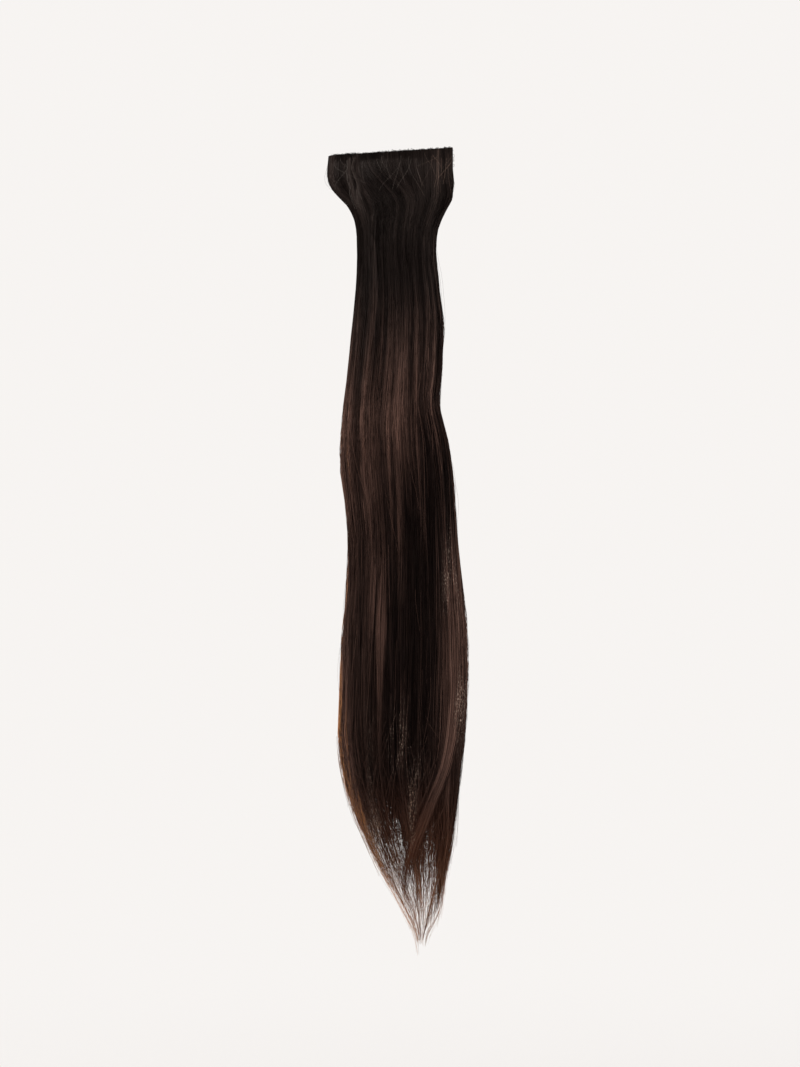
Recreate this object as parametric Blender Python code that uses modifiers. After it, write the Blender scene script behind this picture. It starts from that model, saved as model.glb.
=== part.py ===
"""A filler hairpiece: a narrow clip-in weft folded once, hair sides out, whose hair hangs in one tress.

Metres, +Z up. The hair falls along -Z and its front faces -Y. The origin is the middle of the
seam's top edge, between the two layers of the fold, where the piece pins on.
"""

import math
from typing import NamedTuple

import bmesh
import bpy
import numpy as np

# Hair sizes
HAIR_LENGTH = 0.457
COVER_THICKNESS = 0.0018
END_COVER = 0.0013
TRESS_DEPTH = 0.024
SEAM_SHOWS = 0.0012

# Weft sizes. The reach runs from the outside of the fold to the free ends, along the tape's middle.
BAND_REACH = 0.0692
BAND_HEIGHT = 0.012
BAND_THICKNESS = 0.0015
FOLD_GAP = 0.0072
FOLD_RADIUS = 0.0060
SEAM_RADIUS = 0.0010
WEFT_TILT_DEGREES = 3.6

# Snap clip sizes
CLIP_LENGTH = 0.030
CLIP_HEIGHT = 0.0085
CLIP_THICKNESS = 0.0018
CLIP_BAR = 0.0030
CLIP_EYELET_RADIUS = 0.0007
CLIP_TEETH = 7
CLIP_TOOTH_SHARE = 0.56
CLIP_PLACE_SHARE = 0.62

# Small gap between pieces that are sewn together
CLEARANCE = 0.0003

# Places that follow from the sizes
LAYER_OFFSET = (FOLD_GAP + BAND_THICKNESS) / 2
POCKET_OFFSET = max(SEAM_RADIUS, BAND_THICKNESS / 2) + CLEARANCE
COVER_OFFSET = POCKET_OFFSET + COVER_THICKNESS
HALF_SPAN = (BAND_REACH + COVER_OFFSET + END_COVER) / 2
FOLD_X = COVER_OFFSET - HALF_SPAN
LOOP_X = FOLD_X + FOLD_RADIUS
FREE_X = FOLD_X + BAND_REACH
BAND_TOP = -(2 * SEAM_RADIUS + CLEARANCE)
BAND_BOTTOM = BAND_TOP - BAND_HEIGHT
POCKET_FLOOR = BAND_BOTTOM - CLEARANCE


class Layer(NamedTuple):
    """How far the two layers of the folded tape stand from the middle.

    reach is a share of the way from the fold's loop to the free ends. In front and back, 0 is
    LAYER_OFFSET and 1 is FOLD_RADIUS.
    """

    reach: float
    front: float
    back: float


# The front layer has a crease beside the loop.
LAYERS = [
    Layer(0.00, 1.00, 1.00),
    Layer(0.06, 0.55, 0.80),
    Layer(0.12, -0.75, 0.35),
    Layer(0.20, -0.50, 0.10),
    Layer(0.34, 0.00, 0.00),
    Layer(1.00, 0.00, 0.00),
]


class Section(NamedTuple):
    """One level section of the tress.

    drop is a share of HAIR_LENGTH, left and right are shares of HALF_SPAN from the middle, and
    depth and sway are shares of TRESS_DEPTH.
    """

    drop: float
    left: float
    right: float
    depth: float
    sway: float


# The hair is gathered narrow from 0.10 to 0.17, where it was held.
SECTIONS = [
    Section(0.000, -1.00, 1.00, 0.74, 0.00),
    Section(0.020, -1.02, 1.00, 0.75, 0.00),
    Section(0.034, -1.00, 1.00, 0.76, 0.00),
    Section(0.046, -0.88, 0.99, 0.80, 0.00),
    Section(0.060, -0.73, 0.96, 0.87, 0.00),
    Section(0.076, -0.61, 0.84, 0.97, 0.00),
    Section(0.100, -0.56, 0.70, 1.00, 0.00),
    Section(0.165, -0.55, 0.76, 0.96, 0.00),
    Section(0.220, -0.62, 0.84, 0.98, -0.02),
    Section(0.290, -0.72, 0.79, 1.03, -0.04),
    Section(0.319, -0.76, 0.74, 1.04, -0.05),
    Section(0.334, -0.78, 0.79, 1.04, -0.05),
    Section(0.364, -0.81, 0.89, 1.04, -0.04),
    Section(0.400, -0.82, 0.97, 1.00, -0.02),
    Section(0.450, -0.72, 1.02, 0.94, 0.02),
    Section(0.510, -0.66, 1.06, 0.90, 0.05),
    Section(0.560, -0.72, 1.13, 0.88, 0.05),
    Section(0.620, -0.79, 1.18, 0.90, 0.03),
    Section(0.690, -0.83, 1.18, 0.86, 0.00),
    Section(0.755, -0.86, 1.13, 0.78, -0.02),
    Section(0.810, -0.74, 1.06, 0.68, -0.03),
    Section(0.870, -0.46, 0.98, 0.54, -0.02),
    Section(0.920, -0.14, 0.85, 0.38, 0.00),
    Section(0.965, 0.20, 0.74, 0.24, 0.02),
    Section(1.000, 0.42, 0.52, 0.12, 0.03),
]

# The weft's outline gives way to the round tress between the tape and this share of HAIR_LENGTH.
ROUND_BY_SHARE = 0.095
TRESS_FULLNESS = 2.3

# The core lies inside the outline by the locks' relief, and stops short of the longest tips.
CORE_END_SHARE = 0.950
CORE_TIP_SHARE = 0.975
CORE_SIDES = 40

# The levels of the core and the locks are shares of HAIR_LENGTH, closer together near the top.
LEVEL_STEPS = 30
LEVEL_GRADING = 1.5
LEVELS = [CORE_END_SHARE * (i / LEVEL_STEPS) ** LEVEL_GRADING for i in range(LEVEL_STEPS + 1)]
LEAST_STEP_SHARE = 0.008


class LockRow(NamedTuple):
    """A row of locks. start and end are shares of the way round, and the tips of HAIR_LENGTH."""

    start: float
    end: float
    count: int
    first_tip: float
    last_tip: float


# The way round runs from the right end along the front to the fold at 0.5, and back behind.
LOCK_ROWS = [
    LockRow(0.045, 0.455, 11, 0.95, 0.95),
    LockRow(0.500, 0.500, 1, 0.98, 0.98),
    LockRow(0.545, 0.955, 9, 0.96, 0.94),
    LockRow(0.000, 0.000, 1, 0.97, 0.97),
]
LOCK_ROOT_SHARE = 0.012
LOCK_EMERGED_SHARE = 0.060
LOCK_TIP_SPREAD_SHARE = 0.08
LOCK_HALF_WIDTH_SHARE = 0.030
LOCK_RELIEF = 0.0012
LOCK_BURIED = 0.0024
LOCK_UNEVENNESS = 0.0006
LOCK_ROOM_SHARE = 0.55
LOCK_SWAY_SHARE = 0.010
LOCK_WAVES = 1.3
LOCK_TAPER_SHARE = 0.66
LOCK_TIP_WIDTH_SHARE = 0.30
GOLDEN = (math.sqrt(5) - 1) / 2

# A lock's section: shares of its half width along the outline, and of its depth below it
LOCK_SECTION = [(0.55, 0.0), (1.0, 0.65), (0.5, 1.0), (-0.5, 1.0), (-1.0, 0.65), (-0.55, 0.0)]


def through(rows, column, at):
    """A smooth curve through one column of a table, read at places in its first column."""
    x = np.array([row[0] for row in rows])
    y = np.array([getattr(row, column) for row in rows])
    slope = np.gradient(y, x)
    slope[0] = slope[-1] = 0
    at = np.clip(np.asarray(at, float), x[0], x[-1])
    i = np.clip(np.searchsorted(x, at, side="right") - 1, 0, len(x) - 2)
    step = x[i + 1] - x[i]
    t = (at - x[i]) / step
    rise = (y[i + 1] - y[i]) * t * t * (3 - 2 * t)
    lead = t * (1 - t) ** 2 * step * slope[i]
    trail = t * t * (1 - t) * step * slope[i + 1]
    return y[i] + rise + lead - trail


def smooth_step(value, low, high):
    """0 below low, 1 above high, and an even curve between."""
    t = np.clip((value - low) / (high - low), 0, 1)
    return t * t * (3 - 2 * t)


def weft_path(layer_points=16, loop_points=11):
    """The tape's middle in plan, from the front free end round the loop to the back free end."""
    reach = np.linspace(1, 0, layer_points)
    x = LOOP_X + (FREE_X - LOOP_X) * reach
    bulge = FOLD_RADIUS - LAYER_OFFSET
    front = -(LAYER_OFFSET + bulge * through(LAYERS, "front", reach))
    back = LAYER_OFFSET + bulge * through(LAYERS, "back", reach)
    turn = np.linspace(0, math.pi, loop_points + 2)[1:-1]
    loop = [LOOP_X - FOLD_RADIUS * np.sin(turn), -FOLD_RADIUS * np.cos(turn)]
    path = [[x, front], loop, [x[::-1], back[::-1]]]
    return np.concatenate([np.stack(run, axis=1) for run in path])


def offset_path(path, distance):
    """The path moved sideways, away from the inside of the fold."""
    along = np.gradient(path, axis=0)
    along /= np.linalg.norm(along, axis=1)[:, None]
    outwards = np.stack([-along[:, 1], along[:, 0]], axis=1)
    return path + distance * outwards


def even_ring(outline, sides):
    """A ring of points at even steps from the right end to the left end, and back behind.

    outline starts and ends at the middle of the right end, and passes the front first.
    """
    lengths = np.concatenate([[0], np.cumsum(np.linalg.norm(np.diff(outline, axis=0), axis=1))])
    leftmost = lengths[np.argmin(outline[:, 0])]
    half = sides // 2
    front = np.linspace(0, leftmost, half, endpoint=False)
    back = np.linspace(leftmost, lengths[-1], sides - half, endpoint=False)
    at = np.concatenate([front, back])
    return np.stack([np.interp(at, lengths, outline[:, k]) for k in (0, 1)], axis=1)


def weft_ring(sides):
    """The outside of the hair where it covers the folded tape."""
    cover = offset_path(weft_path(), COVER_OFFSET)
    right = [[HALF_SPAN, 0]]
    corners = [[HALF_SPAN, cover[0, 1]]], [[HALF_SPAN, cover[-1, 1]]]
    return even_ring(np.concatenate([right, corners[0], cover, corners[1], right]), sides)


def round_ring(half_width, half_depth, sides):
    """The outside of the gathered hair about its own middle, fuller than an ellipse."""
    angle = np.linspace(0, 2 * math.pi, 241)
    across, down = np.cos(angle), -np.sin(angle)
    power = 2 / TRESS_FULLNESS
    x = half_width * np.sign(across) * abs(across) ** power
    y = half_depth * np.sign(down) * abs(down) ** power
    return even_ring(np.stack([x, y], axis=1), sides)


def tress_ring(drop, sides):
    """The level outline of the tress at a share of the hair's length."""
    left, right = (through(SECTIONS, side, drop) * HALF_SPAN for side in ("left", "right"))
    depth, sway = (through(SECTIONS, side, drop) * TRESS_DEPTH for side in ("depth", "sway"))
    middle, half = (left + right) / 2, (right - left) / 2
    tress = round_ring(half, depth / 2, sides) + [middle, sway]
    weft = weft_ring(sides) * [half / HALF_SPAN, 1] + [middle, 0]
    share = smooth_step(drop * HAIR_LENGTH, -POCKET_FLOOR, ROUND_BY_SHARE * HAIR_LENGTH)
    return weft + (tress - weft) * share


def level(drop, x):
    """The height of the hair at a share of its length. It tilts with the weft near the top."""
    tilt = math.tan(math.radians(WEFT_TILT_DEGREES)) * (1 - smooth_step(drop, 0, ROUND_BY_SHARE))
    return -SEAM_SHOWS - drop * (HAIR_LENGTH - SEAM_SHOWS) + x * tilt


def outward(ring):
    """The outward direction at each point of a closed ring that runs clockwise from above."""
    along = np.roll(ring, -1, axis=0) - np.roll(ring, 1, axis=0)
    along /= np.linalg.norm(along, axis=1)[:, None]
    return np.stack([-along[:, 1], along[:, 0]], axis=1)


def material(name, colour, roughness, metallic=0.0):
    """A plain finish for one piece."""
    made = bpy.data.materials.new(name)
    made.use_nodes = True
    shader = made.node_tree.nodes["Principled BSDF"]
    shader.inputs["Base Color"].default_value = (*colour, 1)
    shader.inputs["Roughness"].default_value = roughness
    shader.inputs["Metallic"].default_value = metallic
    return made


def add_object(name, data, collection, finish=None):
    """An object for this mesh or curve, in its collection and with its finish."""
    made = bpy.data.objects.new(name, data)
    collection.objects.link(made)
    if finish:
        data.materials.append(finish)
    return made


def loft(name, rings, tip=None):
    """A closed mesh through rings of points, each as long as the next, capped or drawn to a tip."""
    shape = bmesh.new()
    rows = [[shape.verts.new(point) for point in ring] for ring in rings]
    sides = len(rows[0])
    shape.faces.new(rows[0])
    for upper, lower in zip(rows, rows[1:]):
        for i in range(sides):
            j = (i + 1) % sides
            shape.faces.new((upper[i], lower[i], lower[j], upper[j]))
    if tip is None:
        shape.faces.new(rows[-1][::-1])
    else:
        end = shape.verts.new(tip)
        for i in range(sides):
            shape.faces.new((rows[-1][i], end, rows[-1][(i + 1) % sides]))
    bmesh.ops.recalc_face_normals(shape, faces=shape.faces)
    mesh = bpy.data.meshes.new(name)
    shape.to_mesh(mesh)
    shape.free()
    return mesh


def core_mesh():
    """The body of the tress, a little inside its outline so that the locks stand proud."""
    rings = []
    for drop in LEVELS:
        ring = tress_ring(drop, CORE_SIDES)
        ring -= LOCK_RELIEF * smooth_step(drop, LOCK_ROOT_SHARE, LOCK_EMERGED_SHARE) * outward(ring)
        rings.append([(x, y, level(drop, x)) for x, y in ring])
    x, y = tress_ring(CORE_TIP_SHARE, CORE_SIDES).mean(axis=0)
    return loft("tress_core", rings, tip=(x, y, level(CORE_TIP_SHARE, x)))


def lock_mesh(name, place, tip, phase):
    """One lock, a tapered strip that follows the outline of the tress from its root to its tip.

    It starts buried in the core, comes out of it by LOCK_EMERGED_SHARE and keeps its inner side buried.
    """
    fine = 12 * CORE_SIDES
    rings = []
    first, last = LOCK_ROOT_SHARE + LEAST_STEP_SHARE, tip - LEAST_STEP_SHARE
    for drop in [LOCK_ROOT_SHARE, *(drop for drop in LEVELS if first < drop < last), tip]:
        share = (drop - LOCK_ROOT_SHARE) / (tip - LOCK_ROOT_SHARE)
        outline = tress_ring(drop, fine)
        facing = outward(outline)
        sunk = LOCK_RELIEF * (1 - smooth_step(drop, LOCK_ROOT_SHARE, LOCK_EMERGED_SHARE))
        outline -= (sunk + LOCK_UNEVENNESS * phase) * facing
        sway = LOCK_SWAY_SHARE * math.sin(2 * math.pi * (LOCK_WAVES * drop + phase)) * share
        narrow = 1 - (1 - LOCK_TIP_WIDTH_SHARE) * smooth_step(share, LOCK_TAPER_SHARE, 1)
        room = LOCK_ROOM_SHARE * TRESS_DEPTH * through(SECTIONS, "depth", drop)
        depth = min(LOCK_RELIEF + LOCK_BURIED, room)
        inwards = -facing[round((place + sway) * fine) % fine]
        ring = []
        for along, below in LOCK_SECTION:
            at = round((place + sway + along * LOCK_HALF_WIDTH_SHARE * narrow) * fine) % fine
            x, y = outline[at] + below * depth * inwards
            ring.append((x, y, level(drop, x)))
        rings.append(ring)
    return loft(name, rings)


def add_tress(collection, cutters, pocket, finish):
    """The hair: a core, with the locks joined to it and the room for the folded tape cut out."""
    locks = bpy.data.collections.new("locks")
    cutters.children.link(locks)
    number = 0
    for row in LOCK_ROWS:
        for i in range(row.count):
            along = i / max(row.count - 1, 1)
            place = row.start + (row.end - row.start) * along
            phase = (GOLDEN * number) % 1
            tip = row.first_tip + (row.last_tip - row.first_tip) * along
            tip = min(tip + LOCK_TIP_SPREAD_SHARE * (phase - 0.5), 1)
            name = f"lock_{number:02d}"
            lock = add_object(name, lock_mesh(name, place, tip, phase), locks)
            lock.hide_render = True
            lock.display_type = "WIRE"
            number += 1
    tress = add_object("hair_tress", core_mesh(), collection, finish)
    joined = tress.modifiers.new("locks", "BOOLEAN")
    joined.operation = "UNION"
    joined.solver = "MANIFOLD"
    joined.operand_type = "COLLECTION"
    joined.collection = locks
    cut = tress.modifiers.new("room for the tape", "BOOLEAN")
    cut.operation = "DIFFERENCE"
    cut.object = pocket
    return tress


def pocket_mesh():
    """The room that the folded tape and the space inside its fold take out of the hair."""
    outside = offset_path(weft_path(), POCKET_OFFSET)
    past_end = FREE_X + 4 * END_COVER + COVER_THICKNESS
    outline = [(past_end, outside[0, 1]), *map(tuple, outside), (past_end, outside[-1, 1])]
    above = 4 * SEAM_RADIUS
    return loft(
        "tape_room",
        [[(x, y, z) for x, y in outline] for z in (above, POCKET_FLOOR)],
    )


def add_band(collection, finish):
    """The tape: a strip on edge, folded in two."""
    shape = bmesh.new()
    path = weft_path()
    rows = [[shape.verts.new((x, y, z)) for x, y in path] for z in (BAND_TOP, BAND_BOTTOM)]
    for i in range(len(path) - 1):
        shape.faces.new((rows[0][i], rows[1][i], rows[1][i + 1], rows[0][i + 1]))
    mesh = bpy.data.meshes.new("weft_band")
    shape.to_mesh(mesh)
    shape.free()
    band = add_object("weft_band", mesh, collection, finish)
    wall = band.modifiers.new("thickness", "SOLIDIFY")
    wall.thickness = BAND_THICKNESS
    wall.offset = 0
    wall.use_even_offset = True
    return band


def add_seam(collection, finish):
    """The sewn roll of hair roots along the tape's top edge."""
    curve = bpy.data.curves.new("sewn_seam", "CURVE")
    curve.dimensions = "3D"
    curve.bevel_depth = SEAM_RADIUS
    curve.bevel_resolution = 2
    curve.use_fill_caps = True
    path = weft_path()
    line = curve.splines.new("POLY")
    line.points.add(len(path) - 1)
    for point, (x, y) in zip(line.points, path):
        point.co = (x, y, -SEAM_RADIUS, 1)
    return add_object("sewn_seam", curve, collection, finish)


def clip_outline():
    """A closed snap clip seen square on: a bar with round ends, and a comb of teeth below it."""
    end = CLIP_BAR / 2
    reach = CLIP_LENGTH / 2 - end
    turn = np.linspace(math.pi / 2, -math.pi / 2, 7)
    right = [(reach + end * math.cos(a), end * math.sin(a)) for a in turn]
    left = [(-x, -y) for x, y in right]
    comb = 2 * (reach - end)
    pitch = comb / CLIP_TEETH
    half_tooth = pitch * CLIP_TOOTH_SHARE / 2
    foot = end - CLIP_HEIGHT
    teeth = []
    for i in range(CLIP_TEETH):
        x = comb / 2 - pitch * (i + 0.5)
        teeth += [
            (x + half_tooth, -end),
            (x + half_tooth * 0.7, foot + half_tooth * 0.5),
            (x + half_tooth * 0.3, foot),
            (x - half_tooth * 0.3, foot),
            (x - half_tooth * 0.7, foot + half_tooth * 0.5),
            (x - half_tooth, -end),
        ]
    return right + teeth + left


def add_clip(name, side, collection, finish):
    """One snap clip on the inner face of a layer. side is -1 for the front layer, 1 for the back."""
    curve = bpy.data.curves.new(name, "CURVE")
    curve.dimensions = "2D"
    curve.fill_mode = "BOTH"
    curve.extrude = CLIP_THICKNESS / 2
    eyelet_x = CLIP_LENGTH / 2 - CLIP_BAR / 2
    turn = np.linspace(0, 2 * math.pi, 11)[:-1]
    ring = [(CLIP_EYELET_RADIUS * math.cos(a), CLIP_EYELET_RADIUS * math.sin(a)) for a in turn]
    eyelets = [[(x + centre, y) for x, y in ring] for centre in (-eyelet_x, eyelet_x)]
    for outline in (clip_outline(), *eyelets):
        line = curve.splines.new("POLY")
        line.points.add(len(outline) - 1)
        for point, (x, y) in zip(line.points, outline):
            point.co = (x, y, 0, 1)
        line.use_cyclic_u = True
    clip = add_object(name, curve, collection, finish)
    depth = FOLD_GAP / 2 - CLEARANCE - CLIP_THICKNESS / 2
    height = (BAND_TOP + BAND_BOTTOM + CLIP_HEIGHT - CLIP_BAR) / 2
    clip.location = (LOOP_X + (FREE_X - LOOP_X) * CLIP_PLACE_SHARE, side * depth, height)
    clip.rotation_euler = (math.pi / 2, 0, 0)
    return clip


def main():
    for old in list(bpy.data.objects):
        bpy.data.objects.remove(old, do_unlink=True)
    scene = bpy.context.scene
    hairpiece = bpy.data.collections.new("filler hairpiece")
    cutters = bpy.data.collections.new("cutters")
    scene.collection.children.link(hairpiece)
    scene.collection.children.link(cutters)

    hair = material("hair", (0.022, 0.014, 0.011), 0.38)
    tape = material("tape", (0.012, 0.009, 0.008), 0.85)
    thread = material("thread", (0.016, 0.011, 0.010), 0.70)
    steel = material("clip steel", (0.035, 0.030, 0.028), 0.35, metallic=0.9)

    weft = bpy.data.objects.new("folded_weft", None)
    hairpiece.objects.link(weft)
    weft.rotation_euler = (0, -math.radians(WEFT_TILT_DEGREES), 0)

    pocket = add_object("tape_room", pocket_mesh(), cutters)
    pocket.hide_render = True
    pocket.display_type = "WIRE"
    pieces = [
        pocket,
        add_band(hairpiece, tape),
        add_seam(hairpiece, thread),
        add_clip("snap_clip_front", -1, hairpiece, steel),
        add_clip("snap_clip_back", 1, hairpiece, steel),
    ]
    for piece in pieces:
        piece.parent = weft
    add_tress(hairpiece, cutters, pocket, hair)


main()
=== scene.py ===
"""Looks of a filler hairpiece: single hairs in locks, a sewn seam, a woven tape and snap clips."""

import math

import bpy
import numpy as np
from bpy.props import FloatProperty, FloatVectorProperty, IntProperty, PointerProperty
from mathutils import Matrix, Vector


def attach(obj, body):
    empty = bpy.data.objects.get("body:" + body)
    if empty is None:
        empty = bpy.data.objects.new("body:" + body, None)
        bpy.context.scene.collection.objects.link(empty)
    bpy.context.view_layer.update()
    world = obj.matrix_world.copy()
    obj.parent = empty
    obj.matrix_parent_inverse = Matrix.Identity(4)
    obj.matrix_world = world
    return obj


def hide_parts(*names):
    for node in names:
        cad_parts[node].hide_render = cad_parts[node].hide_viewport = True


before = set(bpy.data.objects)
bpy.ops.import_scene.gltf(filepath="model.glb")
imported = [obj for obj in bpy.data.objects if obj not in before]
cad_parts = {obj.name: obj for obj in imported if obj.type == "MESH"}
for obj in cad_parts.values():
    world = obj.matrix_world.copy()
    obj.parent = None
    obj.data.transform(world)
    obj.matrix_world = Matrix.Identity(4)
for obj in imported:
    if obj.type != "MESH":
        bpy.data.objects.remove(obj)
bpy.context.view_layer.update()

bl_info = {
    "name": "Filler hairpiece",
    "version": (1, 0, 0),
    "blender": (4, 5, 0),
    "location": "View3D > Sidebar > Hairpiece",
    "description": "Hair, seam, tape and clips of a folded clip-in weft, with a plain studio",
    "category": "Object",
}

# The solid part's sizes and tables, in metres, which the hair has to follow
HAIR_LENGTH = 0.457
TRESS_DEPTH = 0.024
SEAM_SHOWS = 0.0012
BAND_REACH = 0.0692
BAND_HEIGHT = 0.012
BAND_THICKNESS = 0.0015
FOLD_GAP = 0.0072
FOLD_RADIUS = 0.0060
SEAM_RADIUS = 0.0010
WEFT_TILT = math.radians(3.6)
CLEARANCE = 0.0003
LAYER_OFFSET = (FOLD_GAP + BAND_THICKNESS) / 2
COVER_OFFSET = SEAM_RADIUS + CLEARANCE + 0.0018
HALF_SPAN = (BAND_REACH + COVER_OFFSET + 0.0013) / 2
FOLD_X = COVER_OFFSET - HALF_SPAN
LOOP_X = FOLD_X + FOLD_RADIUS
FREE_X = FOLD_X + BAND_REACH
BAND_TOP = -(2 * SEAM_RADIUS + CLEARANCE)
BAND_BOTTOM = BAND_TOP - BAND_HEIGHT
ROUND_BY_SHARE = 0.095
TRESS_FULLNESS = 2.3

# The deepest that hair lies, as a share of the local depth
DEEPEST_SHARE = 0.42
# Shares of the drop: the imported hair's start and end, the end of the thin part at the seam, and
# where the hairs begin to fall straight
BODY_START = 0.034
BODY_SPAN = 0.841
BODY_END = BODY_START + BODY_SPAN
GATHERED_BY = 0.036
STRAIGHT_FROM = 0.78
# Corners of a hair's section from its middle, as shares of its width
HAIR_BREADTH = 0.58
HAIR_DEPTH = 0.42
# How hair turns back light: very little, and warm
HAIR_IOR = 1.55
WARM_TINT = (1.0, 0.82, 0.74, 1.0)
# Half the gap between the layers' hairs at the open right end, on the way round
END_GAP = 0.052
# How far inside the outline the hair starts at the thin seam, in metres
SEAM_PINCH = 0.0016
# How much nearer to the crease the hairs beside it start, as a share of their distance
SWEEP = 0.72
# Bunches near the tips: their number round the tress, and how far they draw the hairs round
BUNCHES = 7
BUNCH_SHIFT = 0.018
# Shares of the drop by which hairs are longer at the right end, and shorter between the edges
LONGER_RIGHT = 0.048
SHORTER_BETWEEN = 0.006
# The share of its length over which a streak comes in, and goes out again
STREAK_EASE = 0.4
# How much narrower a hair ends, and the share of its length from which it narrows
END_NARROWED = 0.66
NARROWS_FROM = 0.80
# The farthest that a hair lies from its lock's middle, in half widths of the lock
FARTHEST = 1.2

# Columns: reach from the loop to the free ends, front layer, back layer
LAYERS = np.array([
    (0.00, 1.00, 1.00),
    (0.06, 0.55, 0.80),
    (0.12, -0.75, 0.35),
    (0.20, -0.50, 0.10),
    (0.34, 0.00, 0.00),
    (1.00, 0.00, 0.00),
])

# Columns: drop as a share of the length, left and right of the middle, depth, sway
SECTIONS = np.array([
    (0.000, -1.00, 1.00, 0.74, 0.00),
    (0.020, -1.02, 1.00, 0.75, 0.00),
    (0.034, -0.99, 1.00, 0.76, 0.00),
    (0.046, -0.91, 0.99, 0.80, 0.00),
    (0.060, -0.75, 0.96, 0.87, 0.00),
    (0.076, -0.61, 0.84, 0.97, 0.00),
    (0.100, -0.56, 0.70, 1.00, 0.00),
    (0.165, -0.55, 0.76, 0.96, 0.00),
    (0.220, -0.62, 0.84, 0.98, -0.02),
    (0.290, -0.72, 0.79, 1.03, -0.04),
    (0.319, -0.76, 0.74, 1.04, -0.05),
    (0.334, -0.78, 0.79, 1.04, -0.05),
    (0.364, -0.81, 0.89, 1.04, -0.04),
    (0.400, -0.82, 0.97, 1.00, -0.02),
    (0.450, -0.72, 1.02, 0.94, 0.02),
    (0.510, -0.66, 1.06, 0.90, 0.05),
    (0.560, -0.72, 1.13, 0.88, 0.05),
    (0.620, -0.79, 1.18, 0.90, 0.03),
    (0.690, -0.83, 1.18, 0.86, 0.00),
    (0.755, -0.86, 1.13, 0.78, -0.02),
    (0.810, -0.74, 1.06, 0.68, -0.03),
    (0.870, -0.46, 0.98, 0.54, -0.02),
    (0.920, -0.14, 0.85, 0.38, 0.00),
    (0.965, 0.20, 0.74, 0.24, 0.02),
    (1.000, 0.42, 0.52, 0.12, 0.03),
])

# Streaks of painted highlight and painted shade: the dark line in the crease and the darker columns
# down the front are painted shade; the lighter bands high on the front and along the left and right
# edges are painted highlight and glow
# Columns: place round the tress, half width, first and last share of the drop, lightness
LIGHT_AND_SHADE_STREAKS = np.array([
    (0.232, 0.055, 0.18, 0.42, 0.42),
    (0.130, 0.040, 0.18, 0.38, 0.22),
    (0.345, 0.035, 0.26, 0.46, 0.26),
    (0.435, 0.035, 0.24, 0.47, 0.42),
    (0.095, 0.045, 0.32, 0.54, -0.50),
    (0.352, 0.028, 0.44, 0.70, 0.30),
    (0.196, 0.045, 0.38, 0.80, -0.60),
    (0.276, 0.028, 0.44, 0.88, -0.42),
    (0.060, 0.030, 0.50, 0.76, 0.42),
    (0.320, 0.016, 0.50, 0.66, 0.26),
    (0.458, 0.030, 0.62, 1.25, 0.90),
    (0.505, 0.040, 0.46, 1.30, 1.70),
    (0.500, 0.022, 0.16, 0.62, 0.80),
    (0.018, 0.034, 0.44, 0.84, 0.44),
    (0.389, 0.010, -0.10, 0.10, -0.70),
    (0.345, 0.022, -0.10, 0.09, 0.30),
    (0.285, 0.036, -0.10, 0.12, -0.40),
    (0.205, 0.026, 0.02, 0.13, 0.34),
    (0.110, 0.050, -0.10, 0.09, 0.20),
    (0.470, 0.026, -0.06, 0.09, 0.30),
    (0.720, 0.060, 0.20, 0.50, 0.30),
    (0.880, 0.045, 0.40, 0.80, 0.30),
    (0.620, 0.045, 0.50, 0.90, 0.30),
])

# Columns: share of the hairs, and the share of the full length by which they have ended
TIPS = np.array([
    (0.000, 0.72),
    (0.180, 0.77),
    (0.400, 0.80),
    (0.590, 0.83),
    (0.735, 0.855),
    (0.840, 0.875),
    (0.910, 0.895),
    (0.957, 0.915),
    (0.982, 0.935),
    (0.995, 0.960),
    (0.998, 0.980),
    (1.000, 1.000),
])

# Columns: drop, and the middle of the lock that crosses the front, from the right edge to the tips
CROSSING = np.array([
    (0.40, 0.0290),
    (0.52, 0.0335),
    (0.637, 0.0362),
    (0.695, 0.0362),
    (0.746, 0.0339),
    (0.784, 0.0299),
    (0.816, 0.0240),
    (0.854, 0.0172),
    (0.886, 0.0120),
    (0.911, 0.0090),
    (0.960, 0.0080),
])

# Columns: drop, and the middles of the two thin locks in the crease
CREASE_LOCKS = np.array([
    (0.000, -0.0212, -0.0236),
    (0.004, -0.0207, -0.0240),
    (0.017, -0.0221, -0.0243),
    (0.029, -0.0202, -0.0244),
    (0.040, -0.0184, -0.0228),
    (0.051, -0.0190, -0.0222),
    (0.070, -0.0165, -0.0190),
    (0.100, -0.0130, -0.0155),
    (0.300, -0.0140, -0.0160),
])

# Where the crease beside the fold lies on the way round
CREASE = 0.372

# Places of a hair's points, as shares of its own length: close where the tress is gathered,
# and at the right end where its edge steps in and out again
HAIR_LEVELS = np.array([
    0, 0.013, 0.028, 0.042, 0.056, 0.070, 0.088, 0.112, 0.155, 0.225,
    0.315, 0.415, 0.520, 0.625, 0.725, 0.820, 0.910, 1,
])
RIGHT_LEVELS = np.array([
    0, 0.020, 0.045, 0.065, 0.085, 0.112, 0.160, 0.240, 0.335, 0.365,
    0.392, 0.425, 0.480, 0.570, 0.670, 0.775, 0.885, 1,
])


def through(table, column, at):
    """A smooth curve through one column: cubic steps between rows, with even slopes at them."""
    x, y = table[:, 0], table[:, column]
    slope = np.gradient(y, x)
    slope[0] = slope[-1] = 0
    at = np.clip(np.asarray(at, float), x[0], x[-1])
    i = np.clip(np.searchsorted(x, at, side="right") - 1, 0, len(x) - 2)
    step = x[i + 1] - x[i]
    t = (at - x[i]) / step
    climb = (y[i + 1] - y[i]) * t * t * (3 - 2 * t)
    return y[i] + climb + t * (1 - t) * step * ((1 - t) * slope[i] - t * slope[i + 1])


def rise(value, low, high):
    """0 below low, 1 above high, and 3t^2 - 2t^3 between."""
    t = np.clip((value - low) / (high - low), 0, 1)
    return t * t * (3 - 2 * t)


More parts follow.
